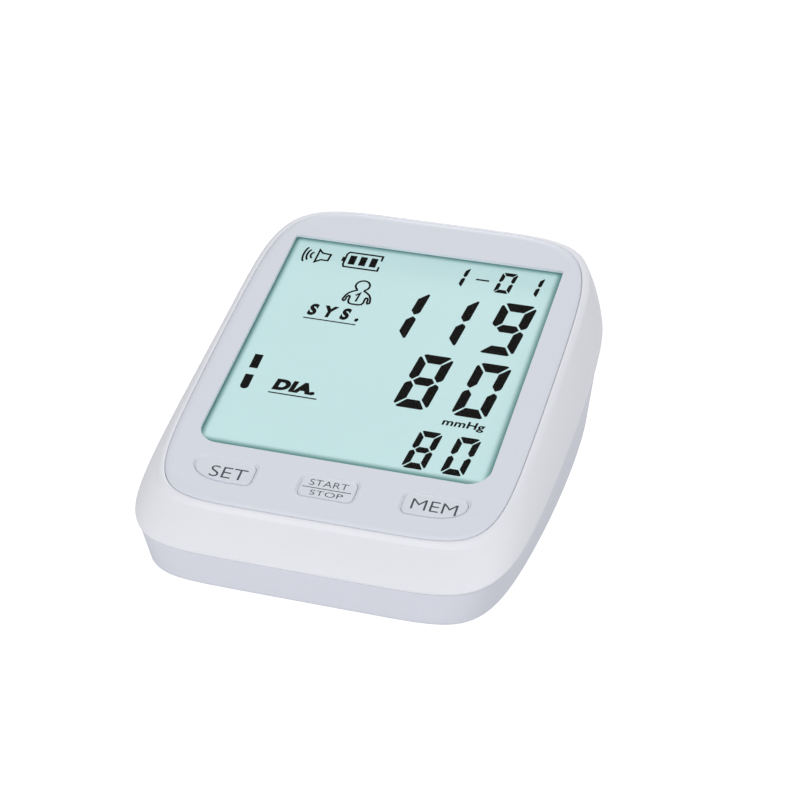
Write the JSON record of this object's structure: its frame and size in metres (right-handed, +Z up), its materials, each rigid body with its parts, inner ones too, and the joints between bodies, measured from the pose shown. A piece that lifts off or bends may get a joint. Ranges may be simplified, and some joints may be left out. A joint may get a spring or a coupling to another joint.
{
  "type": "upper arm blood pressure monitor",
  "caption": "Desk-type upper arm blood pressure monitor with a wedge case, sloping backlit display, push keys, sliding battery door, air socket and power socket.",
  "frame": {"origin": "on the table, under the middle of the case", "axes": "+X to the user's right, +Y to the rear, where the case is taller, +Z up"},
  "size_m": [0.104, 0.133, 0.0475],
  "materials": {
    "case_white": "fine satin texture",
    "case_grey": "fine satin texture",
    "panel_grey": "fine satin texture",
    "key_grey": "satin",
    "window": "clear, polished",
    "display": "pale cyan liquid crystal, polished",
    "light_guide": "frosted white",
    "white_plastic": "moulded, satin",
    "ribbon": "amber film",
    "board": "green solder mask",
    "chip": "moulded, matt",
    "board_parts": "ceramic and resin",
    "black_plastic": "moulded, satin",
    "cone": "thin film, satin",
    "wire": "insulated wire, satin",
    "steel": "drawn, satin",
    "magnet": "sintered, matt",
    "winding": "enamelled copper, gloss",
    "diaphragm": "moulded rubber, matt",
    "soft_rubber": "moulded rubber, matt",
    "spring": "nickel plated",
    "silicone": "milky silicone, satin",
    "socket_grey": "moulded, satin",
    "cell": "printed sleeve, satin"
  },
  "bodies": {
    "case": {"upper_case": "case_white", "lower_case": "case_grey", "front_panel": "panel_grey", "display_lens": "window", "lcd_glass": "display", "backlight": "light_guide", "lcd_holder": "white_plastic", "lcd_ribbon": "ribbon", "main_board": "board", "usb_board": "board", "controller_chip": "chip", "board_parts": "board_parts", "switch_bodies": "black_plastic", "pressure_sensor": "black_plastic", "speaker_frame": "black_plastic", "speaker_cone": "cone", "speaker_leads": "wire", "motor_can": "steel", "motor_end_cap": "black_plastic", "motor_magnets": "magnet", "pump_base": "black_plastic", "pump_diaphragm": "diaphragm", "pump_cover": "black_plastic", "pump_sleeve": "soft_rubber", "pump_leads": "wire", "valve_yoke": "steel", "valve_coil": "winding", "valve_spring": "spring", "valve_cap": "white_plastic", "air_manifold": "white_plastic", "pump_tube": "silicone", "valve_tube": "silicone", "sensor_tube": "silicone", "socket_tube": "silicone", "air_socket": "socket_grey", "usb_shell": "steel", "usb_tongue": "black_plastic", "usb_leads": "wire", "battery_1": "cell", "battery_2": "cell", "battery_3": "cell", "battery_4": "cell", "contact_bridges": "spring", "terminal_contacts": "spring", "contact_springs": "spring", "battery_leads": "wire", "rubber_feet": "soft_rubber", "case_screws": "steel", "board_screws": "steel"},
    "set_key": {"set_button": "key_grey"},
    "start_key": {"start_button": "key_grey"},
    "memory_key": {"memory_button": "key_grey"},
    "set_stem": {"set_switch_stem": "black_plastic"},
    "start_stem": {"start_switch_stem": "black_plastic"},
    "memory_stem": {"memory_switch_stem": "black_plastic"},
    "rotor": {"motor_rotor": "winding", "pump_eccentric": "white_plastic"},
    "plunger": {"valve_plunger": "steel"},
    "door": {"battery_door": "case_grey"}
  },
  "joints": [
    {"name": "set_key_press", "type": "slide", "parent": "case", "child": "set_key", "axis": [0, 0.2419, -0.9703], "range_m": [0, 0.0005], "stiffness_N_per_m": 2000, "springref_m": -0.0002},
    {"name": "set_stem_press", "type": "slide", "parent": "case", "child": "set_stem", "axis": [0, 0.2419, -0.9703], "range_m": [0, 0.0005], "stiffness_N_per_m": 400, "springref_m": -0.0002},
    {"name": "start_key_press", "type": "slide", "parent": "case", "child": "start_key", "axis": [0, 0.2419, -0.9703], "range_m": [0, 0.0005], "stiffness_N_per_m": 2000, "springref_m": -0.0002},
    {"name": "start_stem_press", "type": "slide", "parent": "case", "child": "start_stem", "axis": [0, 0.2419, -0.9703], "range_m": [0, 0.0005], "stiffness_N_per_m": 400, "springref_m": -0.0002},
    {"name": "memory_key_press", "type": "slide", "parent": "case", "child": "memory_key", "axis": [0, 0.2419, -0.9703], "range_m": [0, 0.0005], "stiffness_N_per_m": 2000, "springref_m": -0.0002},
    {"name": "memory_stem_press", "type": "slide", "parent": "case", "child": "memory_stem", "axis": [0, 0.2419, -0.9703], "range_m": [0, 0.0005], "stiffness_N_per_m": 400, "springref_m": -0.0002},
    {"name": "rotor_spin", "type": "hinge", "parent": "case", "child": "rotor", "pos_m": [0.031, 0.0375, 0.014], "axis": [0, 1, 0], "continuous": true},
    {"name": "plunger_pull", "type": "slide", "parent": "case", "child": "plunger", "axis": [0, 0, -1], "range_m": [0, 0.0008], "stiffness_N_per_m": 400, "springref_m": -0.0004, "deforming": ["valve_spring"]},
    {"name": "door_slide", "type": "slide", "parent": "case", "child": "door", "axis": [-1, 0, 0], "range_m": [0, 0.07]}
  ],
  "couplings": [
    {"joint": "set_stem_press", "follows": "set_key_press", "ratio": 1},
    {"joint": "start_stem_press", "follows": "start_key_press", "ratio": 1},
    {"joint": "memory_stem_press", "follows": "memory_key_press", "ratio": 1}
  ]
}
